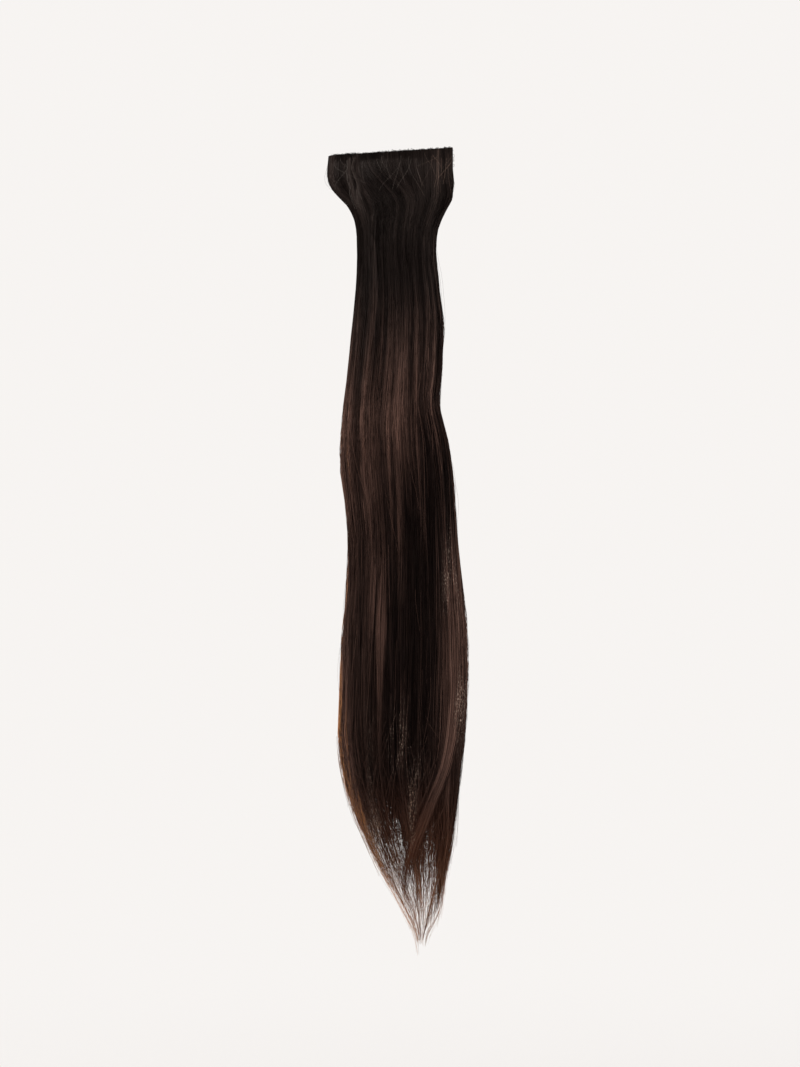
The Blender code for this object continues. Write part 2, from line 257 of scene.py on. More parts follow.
def fade(value, low, high):
    """1 below low, 0 above high, and 1 - 3t^2 + 2t^3 between."""
    return 1 - rise(value, low, high)


def wave(turns):
    """A sine wave over a number of turns."""
    return np.sin(2 * math.pi * turns)


def weft_path(layer_points=16, loop_points=11):
    """The tape's middle in plan: a front layer, half a circle round the fold, and a back layer."""
    reach = np.linspace(1, 0, layer_points)
    x = LOOP_X + (FREE_X - LOOP_X) * reach
    bulge = FOLD_RADIUS - LAYER_OFFSET
    front = -(LAYER_OFFSET + bulge * through(LAYERS, 1, reach))
    back = LAYER_OFFSET + bulge * through(LAYERS, 2, reach)
    turn = np.linspace(0, math.pi, loop_points + 2)[1:-1]
    loop = [LOOP_X - FOLD_RADIUS * np.sin(turn), -FOLD_RADIUS * np.cos(turn)]
    runs = [[x, front], loop, [x[::-1], back[::-1]]]
    return np.concatenate([np.stack(run, axis=1) for run in runs])


def unit(vectors):
    """Each vector divided by its length."""
    return vectors / np.maximum(np.linalg.norm(vectors, axis=-1, keepdims=True), 1e-12)


def turned(along):
    """Directions in plan, turned a quarter towards the outside."""
    return np.stack([-along[..., 1], along[..., 0]], axis=-1)


def outward_of(path):
    """The directions away from the inside of the fold, at the points of a path in plan."""
    return turned(unit(np.gradient(path, axis=0)))


def path_lengths(path):
    """The length of a path up to each of its points."""
    return np.concatenate([[0], np.cumsum(np.linalg.norm(np.diff(path, axis=0), axis=1))])


def read_path(path, lengths, at):
    """The points of a path in plan at the given lengths."""
    return np.stack([np.interp(at, lengths, path[:, k]) for k in (0, 1)], axis=1)


def even_tape(count):
    """The tape's middle in plan at even steps, the lengths up to them, and the ways outwards."""
    path = weft_path(40, 25)
    lengths = path_lengths(path)
    at = np.linspace(0, lengths[-1], count)
    path = read_path(path, lengths, at)
    return path, at, outward_of(path)


def even_ring(outline, sides):
    """Even steps from the middle of the right end along the front to the left end, and back."""
    lengths = path_lengths(outline)
    leftmost = lengths[np.argmin(outline[:, 0])]
    half = sides // 2
    front = np.linspace(0, leftmost, half, endpoint=False)
    back = np.linspace(leftmost, lengths[-1], sides - half, endpoint=False)
    return read_path(outline, lengths, np.concatenate([front, back]))


def way_round(around):
    """Steps round from the middle of the right end: up to a half in front, and under 0 behind."""
    return np.mod(around + 0.5, 1) - 0.5


def from_right(around):
    """Distance round the tress from the middle of its right end, 0 to a half."""
    return np.abs(way_round(around))


class Tress:
    """The tress's outline as a fine grid: rows down the hair, columns the share of the way round.

    Each row blends the outline round the folded weft into a full oval, by a smooth step of the
    drop.
    """

    ROWS, SIDES, HALVINGS = 321, 720, 12

    def __init__(self):
        path = weft_path()
        cover = path + COVER_OFFSET * outward_of(path)
        right, front, back = ([HALF_SPAN, y] for y in (0.0, cover[0, 1], cover[-1, 1]))
        weft = even_ring(np.array([right, front, *cover, back, right]), self.SIDES)
        angle = np.linspace(0, 2 * math.pi, self.SIDES + 1)
        power = 2 / TRESS_FULLNESS
        oval = np.stack(
            [np.sign(f) * np.abs(f) ** power for f in (np.cos(angle), -np.sin(angle))], axis=1
        )
        rows = []
        for drop in np.linspace(0, 1, self.ROWS):
            left, right = (through(SECTIONS, k, drop) * HALF_SPAN for k in (1, 2))
            depth, sway = (through(SECTIONS, k, drop) * TRESS_DEPTH for k in (3, 4))
            middle, half = (left + right) / 2, (right - left) / 2
            full = even_ring(oval * [half, depth / 2], self.SIDES) + [middle, sway]
            flat = weft * [half / HALF_SPAN, 1] + [middle, 0]
            share = rise(drop * HAIR_LENGTH, CLEARANCE - BAND_BOTTOM, ROUND_BY_SHARE * HAIR_LENGTH)
            rows.append(flat + (full - flat) * share)
        ring = np.stack(rows)
        out = turned(unit(np.roll(ring, -3, axis=1) - np.roll(ring, 3, axis=1)))
        grid = np.concatenate([ring, out], axis=-1)
        self.grid = np.concatenate([grid, grid[:, :1]], axis=1)

    def at(self, around, drop, inside=0.0):
        """Points and outward directions, read between the grid's rows and columns.

        inside is the distance below the outline, kept under a share of the local depth.
        """
        around, drop = np.broadcast_arrays(around, drop)
        row = np.clip(drop, 0, 1) * (self.ROWS - 1)
        column = np.mod(around, 1) * self.SIDES
        i = np.minimum(row.astype(int), self.ROWS - 2)
        j = np.minimum(column.astype(int), self.SIDES - 1)
        u, v = (row - i)[..., None], (column - j)[..., None]
        top, low = (self.grid[k, j] * (1 - v) + self.grid[k, j + 1] * v for k in (i, i + 1))
        both = top * (1 - u) + low * u
        out = unit(both[..., 2:])
        room = DEEPEST_SHARE * TRESS_DEPTH * through(SECTIONS, 3, drop)
        place = both[..., :2] - np.minimum(inside, room)[..., None] * out
        tilt = math.tan(WEFT_TILT) * fade(drop, 0, ROUND_BY_SHARE)
        height = -SEAM_SHOWS - drop * (HAIR_LENGTH - SEAM_SHOWS) + place[..., 0] * tilt
        points = np.concatenate([place, height[..., None]], axis=-1)
        outward = np.concatenate([out, np.zeros_like(height)[..., None]], axis=-1)
        return points, outward

    def around_at(self, x, drop, behind=False):
        """The place round the front, or the back, where the outline passes x, by halving."""
        x, drop, behind = np.broadcast_arrays(x, drop, behind)
        near, far = np.zeros(x.shape), np.full(x.shape, 0.5)
        for _ in range(self.HALVINGS):
            half = (near + far) / 2
            short = self.at(np.where(behind, 1 - half, half), drop)[0][..., 0] > x
            near, far = np.where(short, half, near), np.where(short, far, half)
        return near

    def fall_straight(self, rng, around, drop):
        """Below a drop the hairs keep the x they had, by a share: most at the right end."""
        right = fade(from_right(around[:, :1]), 0.10, 0.26)
        share = rng.uniform(0.6, 1.0, right.shape) * right + rng.uniform(0, 0.2, right.shape)
        way = way_round(around)
        x = self.at(around, np.minimum(drop, STRAIGHT_FROM))[0][..., 0]
        straight = self.around_at(x, drop, way < 0)
        change = np.sign(way) * share * (straight - np.abs(way))
        return around + np.where(drop > STRAIGHT_FROM, change, 0)


TRESS = Tress()


class Value:
    """One socket of a material, so that shader maths reads as an expression."""

    def __init__(self, finish, socket):
        self.finish = finish
        self.socket = socket

    def maths(self, operation, *others):
        values = dict(enumerate((self, *others)))
        return self.finish.node("ShaderNodeMath", {"operation": operation}, values)

    def __add__(self, other):
        return self.maths("ADD", other)

    def __mul__(self, other):
        return self.maths("MULTIPLY", other)

    __rmul__ = __mul__

    def __sub__(self, other):
        return self.maths("SUBTRACT", other)


def rgba(colour, times=1.0):
    """A colour made darker or lighter, with full alpha."""
    return (*(min(part * times, 1.0) for part in colour), 1.0)


class Finish:
    """A material under construction."""

    def __init__(self, name):
        self.material = bpy.data.materials.new(name)
        self.material.use_nodes = True
        self.tree = self.material.node_tree
        self.tree.nodes.clear()

    def node(self, kind, settings, sockets, output=0):
        """Add a node: its settings first, then the values or links of its sockets."""
        made = self.tree.nodes.new(kind)
        for name, value in settings.items():
            setattr(made, name, value)
        for name, value in sockets.items():
            if isinstance(value, Value):
                self.tree.links.new(value.socket, made.inputs[name])
            else:
                made.inputs[name].default_value = value
        return Value(self, made.outputs[output]) if made.outputs else None

    def uv(self):
        """The two numbers of a piece's own UV map."""
        where = self.node("ShaderNodeUVMap", {"uv_map": "hair"}, {})
        return (self.node("ShaderNodeSeparateXYZ", {}, {0: where}, output=k) for k in (0, 1))

    def place(self):
        """Object coordinates, in metres."""
        return self.node("ShaderNodeTexCoord", {}, {}, output=3)

    def scaled(self, *scale):
        """Object coordinates, scaled along each axis."""
        return self.node("ShaderNodeMapping", {}, {"Vector": self.place(), "Scale": scale})

    def across(self):
        """Metres from the middle towards the right, from Object coordinates."""
        return self.node("ShaderNodeSeparateXYZ", {}, {0: self.place()})

    def vector(self, x, y):
        return self.node("ShaderNodeCombineXYZ", {}, {0: x, 1: y})

    def noise(self, vector, detail):
        """A smooth noise with one cell to each unit of the vector."""
        sockets = {"Vector": vector, "Scale": 1.0, "Detail": detail}
        return self.node("ShaderNodeTexNoise", {}, sockets)

    def grain(self, detail, *cells):
        """A noise in Object coordinates, with so many cells to the metre along each axis."""
        return self.noise(self.scaled(*cells), detail)

    def mix(self, share, first, second):
        """Two colours mixed by a share."""
        sockets = {0: share, 6: first, 7: second}
        return self.node("ShaderNodeMix", {"data_type": "RGBA"}, sockets, output=2)

    def ramp(self, value, *stops):
        """A colour read along given stops of (place, colour)."""
        made = self.node("ShaderNodeValToRGB", {}, {0: value})
        elements = made.socket.node.color_ramp.elements
        for place, colour in stops[1:-1]:
            elements.new(place).color = rgba(colour)
        for end in (0, -1):
            elements[end].position = stops[end][0]
            elements[end].color = rgba(stops[end][1])
        return made

    def span(self, value, low, high, start=0.0, end=1.0):
        """The value mapped evenly from low..high to start..end, and held at the ends."""
        sockets = {0: value, 1: low, 2: high, 3: start, 4: end}
        return self.node("ShaderNodeMapRange", {"clamp": True}, sockets)

    def rough(self, noise, low, high):
        """A roughness from low to high over the middle of a noise."""
        return self.span(noise, 0.3, 0.7, low, high)

    def bump(self, height, strength, distance):
        sockets = {"Strength": strength, "Distance": distance, "Height": height}
        return self.node("ShaderNodeBump", {}, sockets)

    def done(self, **sockets):
        """Close the material with one Principled shader."""
        named = {name.replace("_", " "): value for name, value in sockets.items()}
        shader = self.node("ShaderNodeBsdfPrincipled", {}, named)
        self.node("ShaderNodeOutputMaterial", {}, {0: shader})
        return self.material


def outward_faces(points, faces):
    """The same triangles, turned over if their shape's volume is negative."""
    a, b, c = (points[faces[:, k]] for k in range(3))
    volume = np.einsum("ij,ij->i", a, np.cross(b, c)).sum()
    return faces if volume > 0 else faces[:, ::-1]


def piece_from(name, points, faces, material, node_name, uv=None):
    """Put arrays of points and triangles into a mesh that replaces a node of the solid part."""
    faces = outward_faces(points, faces)
    mesh = bpy.data.meshes.new(name)
    mesh.vertices.add(len(points))
    mesh.vertices.foreach_set("co", points.astype(np.float32).ravel())
    mesh.loops.add(faces.size)
    mesh.loops.foreach_set("vertex_index", faces.astype(np.int32).ravel())
    mesh.polygons.add(len(faces))
    mesh.polygons.foreach_set("loop_start", np.arange(0, faces.size, 3, dtype=np.int32))
    mesh.polygons.foreach_set("use_smooth", np.full(len(faces), True))
    if uv is not None:
        layer = mesh.uv_layers.new(name="hair")
        layer.uv.foreach_set("vector", uv[faces].astype(np.float32).ravel())
    mesh.update(calc_edges=True)
    mesh.validate()
    piece = bpy.data.objects.new(name, mesh)
    bpy.context.scene.collection.objects.link(piece)
    mesh.materials.append(material)
    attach(piece, "root")
    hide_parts(node_name)


def tube_faces(rows, sides):
    """Triangles between the points of a grid that is closed round its sides."""
    i, j = np.meshgrid(np.arange(rows - 1) * sides, np.arange(sides), indexing="ij")
    k = (j + 1) % sides
    cells = np.stack([i + j, i + sides + j, i + sides + k, i + k], axis=-1).reshape(-1, 4)
    return np.concatenate([cells[:, [0, 1, 2]], cells[:, [0, 2, 3]]])


def closed_tube(rows, sides):
    """The same grid's triangles, with a fan over each end."""
    fan = np.array([(0, i, i + 1) for i in range(1, sides - 1)])
    return np.concatenate([tube_faces(rows, sides), fan, fan[:, ::-1] + (rows - 1) * sides])


def pairs(first, second):
    """Two arrays spread over each other, as rows of two numbers for a UV map."""
    return np.stack(np.broadcast_arrays(first, second), axis=-1).reshape(-1, 2)


def tilted(place, height):
    """Points of a plan raised to a height, on the slope of the weft."""
    height = height + place[..., 0] * math.tan(WEFT_TILT)
    return np.concatenate([place, height[..., None]], axis=-1)


def tape_tube(name, path, out, across, height, material, node_name, uv):
    """A closed tube along the tape: its section lies across the path by so much, at a height."""
    place = path[:, None, :] + across[..., None] * out[:, None, :]
    points = tilted(place, height).reshape(-1, 3)
    faces = closed_tube(*place.shape[:2])
    piece_from(name, points, faces, material, node_name, pairs(*uv))


def strand_arrays(centres, outward, widths):
    """Three-sided hairs: at each level one corner outwards and two inwards across the hair.

    centres and outward are (hairs, levels, 3), widths is (hairs, levels). Returns points and
    closed faces, with the corners of each hair in order down its length.
    """
    hairs, levels, _ = centres.shape
    along = unit(np.gradient(centres, axis=1))
    across = unit(np.cross(along, outward))
    out = unit(np.cross(across, along))
    turns = np.radians([90, 210, 330])
    wide, deep = np.cos(turns) * HAIR_BREADTH, np.sin(turns) * HAIR_DEPTH
    corners = (
        centres[:, :, None, :]
        + across[:, :, None, :] * (widths[:, :, None] * wide)[..., None]
        + out[:, :, None, :] * (widths[:, :, None] * deep)[..., None]
    )
    starts = np.arange(hairs)[:, None, None] * (3 * levels)
    return corners.reshape(-1, 3), (closed_tube(levels, 3)[None] + starts).reshape(-1, 3)


def strand_piece(name, laid, widths, tones, falls, material):
    """One piece of many hairs. Its UV map holds each point's tone and how far down it lies."""
    centres, outward = laid
    shape = centres.shape[:2]
    points, faces = strand_arrays(centres, outward, np.broadcast_to(widths, shape))
    uv = np.stack([np.repeat(np.broadcast_to(part, shape), 3) for part in (tones, falls)], axis=1)
    piece_from(name, points, faces, material, "hair_tress", uv)


def lay_hairs(name, finish_name, sparkle, around, drop, inside, widths, tones):
    """A piece of hairs that follow the tress, at depths inside its outline."""
    material = hair_finish(finish_name, sparkle)
    strand_piece(name, TRESS.at(around, drop, inside), widths, tones, drop, material)


def thread_piece(name, node_name, centres, outward, width, material):
    """One piece of threads, all of one width."""
    centres, outward = np.stack(centres), np.stack(outward)
    points, faces = strand_arrays(centres, outward, np.full(centres.shape[:2], width))
    piece_from(name, points, faces, material, node_name)


def count_field(name, description, default):
    """A whole number in the panel."""
    return IntProperty(name=name, description=description, default=default)


def size_field(name, description, default, unit="LENGTH"):
    """A size in the panel, in metres unless another unit is given."""
    return FloatProperty(name=name, description=description, default=default, unit=unit)


def colour_field(name, description, *default):
    """A colour in the panel."""
    return FloatVectorProperty(
        name=name, description=description, default=default, subtype="COLOR"
    )


class HairSizes(bpy.types.PropertyGroup):
    """Sizes and counts of the hairs and locks."""

    hairs: count_field("Hairs", "Hairs in each of the five parts of the tress", 1450)
    width: size_field("Hair width", "Width of one hair", 0.00024)
    locks: count_field("Locks", "Locks in each of the five parts of the tress", 26)
    lock_depth: size_field("Lock depth", "Depth of hair in one lock", 0.0015)
    relief: size_field("Lock relief", "Depth of the grooves between locks", 0.0007)
    body_inset: size_field("Body inset", "Depth of the packed hair under the single hairs", 0.0019)
    crossing_hairs: count_field("Crossing hairs", "Hairs of the lock that crosses the front", 340)
    crease_hairs: count_field("Crease hairs", "Hairs of the two locks in the crease", 100)
    tip_locks: count_field("Tip locks", "Pointed locks at the tips", 260)
    tip_hairs: count_field("Tip hairs", "Thin hairs at the tips", 420)
    stray_hairs: count_field("Stray hairs", "Hairs that stand off", 210)
    root_hairs: count_field("Root hairs", "Short hair roots that stand on the seam", 420)
    seed: count_field("Seed", "Start of the random draws", 7)


class HairColours(bpy.types.PropertyGroup):
    """Colours of the hair, dark and light, at the root, the middle and the tips, and the painted glow
    of light through its thin edges and tips.
    """

    root: colour_field("Root", "Dark hair at the seam", 0.0014, 0.0008, 0.0007)
    middle: colour_field("Middle", "Dark hair half way down", 0.0024, 0.0011, 0.0010)
    tip: colour_field("Tip", "Dark hair at the tips", 0.0430, 0.0150, 0.0085)
    light_root: colour_field("Light root", "Light hair at the seam", 0.0235, 0.0162, 0.0140)
    light_middle: colour_field("Light middle", "Light hair half way down", 0.1120, 0.0600, 0.0460)
    light_tip: colour_field("Light tip", "Light hair at the tips", 0.2000, 0.0850, 0.0400)
    fine_root: colour_field("Fine root", "Few light hairs near the seam", 0.1450, 0.1230, 0.1100)
    glint: colour_field("Glint", "Small lights on the lower hair", 0.7600, 0.6000, 0.4900)
    # Painted glow down the right edge: the same light through thin hair, painted greyer
    grey_glow: colour_field("Painted grey glow", "The lightest hair down the right edge", 0.2100, 0.1350, 0.1050)
    # Painted glow: warm light shining through the thin hair of the left edge and the tips, put in as
    # a light colour
    warm_glow: colour_field("Painted warm glow", "The lightest hair elsewhere", 0.4200, 0.1800, 0.0680)


class WeftSizes(bpy.types.PropertyGroup):
    """Sizes and colours of the seam, the tape, its stitches and the clips."""

    wrap_pitch: size_field("Wrap pitch", "Length of seam that each wrap of thread takes", 0.0012)
    wrap_relief: size_field("Wrap relief", "Height of each wrap on the roll", 0.00030)
    stitch_pitch: size_field("Stitch pitch", "Length of tape that one zigzag takes", 0.0030)
    thread_radius: size_field("Thread radius", "Radius of the sewing thread", 0.00013)
    tape_colour: colour_field("Tape colour", "Colour of the woven tape", 0.010, 0.008, 0.007)
    thread_colour: colour_field("Thread colour", "Colour of the thread", 0.015, 0.011, 0.010)
    clip_colour: colour_field("Clip colour", "Colour of the clips' lacquer", 0.020, 0.013, 0.010)


class StudioSizes(bpy.types.PropertyGroup):
    """The camera, the lights and the floor."""

    distance: size_field("Camera distance", "From the camera to the hairpiece", 2.0)
    view_height: size_field("View height", "Height of the picture at the hairpiece", 0.6189)
    view_x: size_field("View across", "Middle of the picture across", 0.0049)
    view_z: size_field("View up", "Middle of the picture, upwards", -0.2213)
    floor_drop: size_field("Floor drop", "From the origin down to the floor", 0.80)
    key_power: size_field("Key light", "Power of the key light", 60.0, "POWER")
    fill_power: size_field("Fill light", "Power of the fill and back lights", 14.0, "POWER")
    sky: colour_field("Surroundings", "Colour of the room", 0.93, 0.905, 0.885)


def hair_finish(name, sparkle):
    """Hair whose tone and fall come from its UV map: dark to light by tone, root to tip by fall.

    Small lights lie where two noises meet, low down the middle and along the right edge.
    """
    colours = bpy.context.scene.hair_colours
    finish = Finish(name)
    tone, fall = finish.uv()
    streak = finish.grain(2.0, 1400, 1400, 22)
    dark = finish.ramp(
        fall, (0.02, colours.root), (0.30, colours.middle), (0.79, colours.middle),
        (0.92, colours.tip),
    )
    light = finish.ramp(
        fall, (0.02, colours.light_root), (0.16, colours.light_root), (0.34, colours.light_middle),
        (0.82, colours.light_middle), (0.98, colours.light_tip),
    )
    colour = finish.mix(finish.span(tone + 0.22 * (streak - 0.5), 0.0, 1.0), dark, light)
    across = finish.across()
    # Colours for tones above 1: a few fine light hairs near the seam, then the painted warm glow of
    # light through the thin left edge and tips, greyer down the right edge
    lightest = finish.ramp(
        fall, (0.07, colours.fine_root), (0.12, colours.light_root), (0.32, colours.light_middle),
        (0.55, colours.warm_glow),
    )
    # The painted glow turns greyer down the right edge, above the tips
    right = finish.span(across, 0.012, 0.026) * finish.span(fall, 0.88, 0.80)
    lightest = finish.mix(right, lightest, rgba(colours.grey_glow))
    colour = finish.mix(finish.span(tone, 1.0, 2.0), colour, lightest)
    spot = finish.span(finish.grain(1.0, 2600, 2600, 800), 0.57, 0.65)
    where = finish.span(finish.grain(1.0, 110, 110, 13), 0.50, 0.62)
    middle = finish.span((across - 0.002).maths("ABSOLUTE"), 0.009, 0.019, 1.0, 0.12)
    lower = middle * finish.span(fall, 0.68, 0.82) * finish.span(fall, 0.950, 0.90)
    edge = finish.span(across, 0.027, 0.033) * finish.span(fall, 0.40, 0.48)
    edge = edge * finish.span(fall, 0.78, 0.70, 0.0, 0.5)
    glints = spot * where * (lower + edge) * finish.span(tone, 0.02, 0.3, 0.0, 0.8)
    return finish.done(
        Base_Color=finish.mix(glints, colour, rgba(colours.glint)),
        Roughness=finish.rough(streak, sparkle, sparkle + 0.14), IOR=HAIR_IOR,
        Specular_IOR_Level=0.045, Specular_Tint=WARM_TINT, Coat_Weight=glints,
        Coat_Roughness=0.16, Coat_Tint=(1.0, 0.80, 0.68, 1.0),
    )


def body_finish():
    """Packed hair: fine streaks down the fall, from a noise that is stretched along the hair."""
    colours = bpy.context.scene.hair_colours
    finish = Finish("packed hair")
    around, fall = finish.uv()
    lock = finish.noise(finish.vector(around * 34, fall * 1.2), 1.0)
    hair = finish.noise(finish.vector(around * 520, fall * 5), 2.0)
    dark = finish.ramp(fall, (0.05, colours.root), (0.5, colours.middle), (0.95, colours.middle))
    light = finish.ramp(
        fall, (0.1, colours.root), (0.4, colours.middle), (0.95, colours.light_middle)
    )
    share = finish.span(0.6 * lock + 0.4 * hair, 0.38, 0.66)
    return finish.done(
        Base_Color=finish.mix(share, dark, light), Roughness=finish.rough(hair, 0.36, 0.52),
        IOR=HAIR_IOR, Specular_IOR_Level=0.03, Specular_Tint=WARM_TINT,
        Normal=finish.bump(hair, 0.8, 0.0003),
    )


def thread_finish(name, cells, dark, light, low, high):
    """Twisted thread: two colours and a roughness that follow one fine noise."""
    finish = Finish(name)
    twist = finish.grain(2.0, cells, cells, cells)
    colour = finish.mix(twist, dark, light)
    return finish.done(Base_Color=colour, Roughness=finish.rough(twist, low, high))


def roots_apart(around, drop):
    """Near the seam, hairs of the open right end belong to the front or the back layer."""
    way = way_round(around)
    apart = np.sign(way) * (END_GAP + 0.5 * np.abs(way))
    near = np.where(np.abs(way) < 2 * END_GAP, apart, way)
    return way + (near - way) * fade(drop, 0.030, 0.075)


def pinch_at_seam(around, drop):
    """How far inside the outline the hair leaves the thin seam: least where it rounds the fold."""
    open_side = rise(np.abs(np.mod(around, 1) - 0.5), 0.03, 0.10)
    return SEAM_PINCH * (0.15 + 0.85 * open_side) * fade(drop, 0.0, GATHERED_BY)


def swept_start(around, drop):
    """Hairs beside the crease start nearer to it, and fan out below: a share of their distance."""
    apart = np.clip(CREASE - around, 0, None)
    share = SWEEP * rise(around, 0.13, 0.27)
    return share * apart * fade(drop, 0.0, 0.066)


def light_and_shade_streaks(around, drop):
    """Painted highlight and shade as lighter and darker streaks: each a bell across and a smooth rise
    and fall down the hair.
    """
    tone = np.zeros(np.broadcast_shapes(np.shape(around), np.shape(drop)))
    for place, wide, start, end, strength in LIGHT_AND_SHADE_STREAKS:
        across = np.exp(-((way_round(around - place) / wide) ** 2))
        ease = (end - start) * STREAK_EASE
        down = rise(drop, start, start + ease) * fade(drop, end - ease, end)
        tone = tone + strength * across * down
    return tone


def longer_at_edges(around):
    """How much longer hairs are at the right end and along the left edge, and shorter between."""
    away = from_right(around)
    right, left = fade(away, 0.14, 0.27), rise(away, 0.38, 0.46)
    return LONGER_RIGHT * right + SHORTER_BETWEEN * left - SHORTER_BETWEEN


def bunching(around, drop):
    """Near the tips the hairs draw together in bunches: a sine wave round the tress."""
    return -BUNCH_SHIFT * wave(BUNCHES * around + 0.62) * rise(drop, 0.80, 0.95)


def sheaf_tone(around, drop):
    """Broad darker and lighter sheaves: two sine waves round the tress, drifting down the fall."""
    broad = wave(11 * around + 0.5 * drop + 0.15)
    narrow = wave(19 * around - 0.9 * drop + 0.40)
    return 0.5 + 0.28 * broad + 0.22 * narrow


def taper(share):
    """The width that a hair keeps: all of it, and then a smooth fall to a third at its end."""
    return 1 - END_NARROWED * rise(share, NARROWS_FROM, 1.0)


def near_middle(rng, spread, shape):
    """Places to both sides of a lock's middle, drawn from a bell that is cut off at its sides."""
    return np.clip(rng.normal(0, spread, shape), -FARTHEST, FARTHEST)


class HAIR_OT_body(bpy.types.Operator):
    """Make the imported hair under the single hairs, below the tape and beside it"""

    bl_idname = "hairpiece.body"
    bl_label = "Packed hair"

    # Points down the fall and round it. The rows lie closer at the top, by a power
    ROWS, SIDES, CLOSER = 90, 240, 1.4
    # The drop from which the body thins out, and how much of it is drawn in at its end
    THIN_FROM, DRAWN_IN = 0.73, 0.92
    # Ridges round the body: height in metres, number, phase, and drift down the fall
    RIDGES = ((0.00035, 23, 0.1, 0.6), (0.00025, 41, 0.4, -0.9), (0.00015, 83, 0.7, 1.7))

    def execute(self, context):
        material = body_finish()
        rows, sides = self.ROWS, self.SIDES
        drop = (BODY_START + BODY_SPAN * np.linspace(0, 1, rows) ** self.CLOSER)[:, None]
        around = (np.arange(sides) / sides)[None, :]
        ridges = sum(
            height * wave(number * around + phase + drift * drop)
            for height, number, phase, drift in self.RIDGES
        )
        thin = rise(drop, self.THIN_FROM, BODY_END)
        inside = context.scene.hair_sizes.body_inset + ridges + thin * DEEPEST_SHARE * TRESS_DEPTH
        points, _ = TRESS.at(around, drop, inside)
        middle = points.mean(axis=1, keepdims=True)
        points = middle + (points - middle) * (1 - self.DRAWN_IN * thin[..., None])
        first = np.arange(sides)
        last = first + (rows - 1) * sides
        cap = np.full(sides, rows * sides)
        top = np.stack([cap, first, np.roll(first, -1)], axis=1)
        low = np.stack([cap + 1, np.roll(last, -1), last], axis=1)
        faces = np.concatenate([tube_faces(rows, sides), top, low])
        uv = np.concatenate([pairs(around, drop), [[0.5, BODY_START], [0.5, BODY_END]]])
        points = np.concatenate([points.reshape(-1, 3), points[[0, -1]].mean(axis=1)])
        piece_from("hair_body", points, faces, material, "hair_tress", uv)
        self.beside_tape(material)
        return {"FINISHED"}

    def beside_tape(self, material):
        """A wall of hair on the outside of the folded tape: a wedge section along the path."""
        path, _, out = even_tape(200)
        low, high = -0.0168, -0.0012
        section = np.array([
            (0.00118, high), (0.0013, -0.003), (0.0017, -0.009), (0.0022, -0.014), (0.0019, low),
            (0.0012, low), (0.00105, -0.014), (0.00105, -0.006),
        ])
        uv = np.linspace(0.05, 0.95, len(path))[:, None], -section[:, 1] / HAIR_LENGTH
        tape_tube(
            "hair_beside_tape", path, out, section[:, 0], section[:, 1], material,
            "hair_tress", uv,
        )


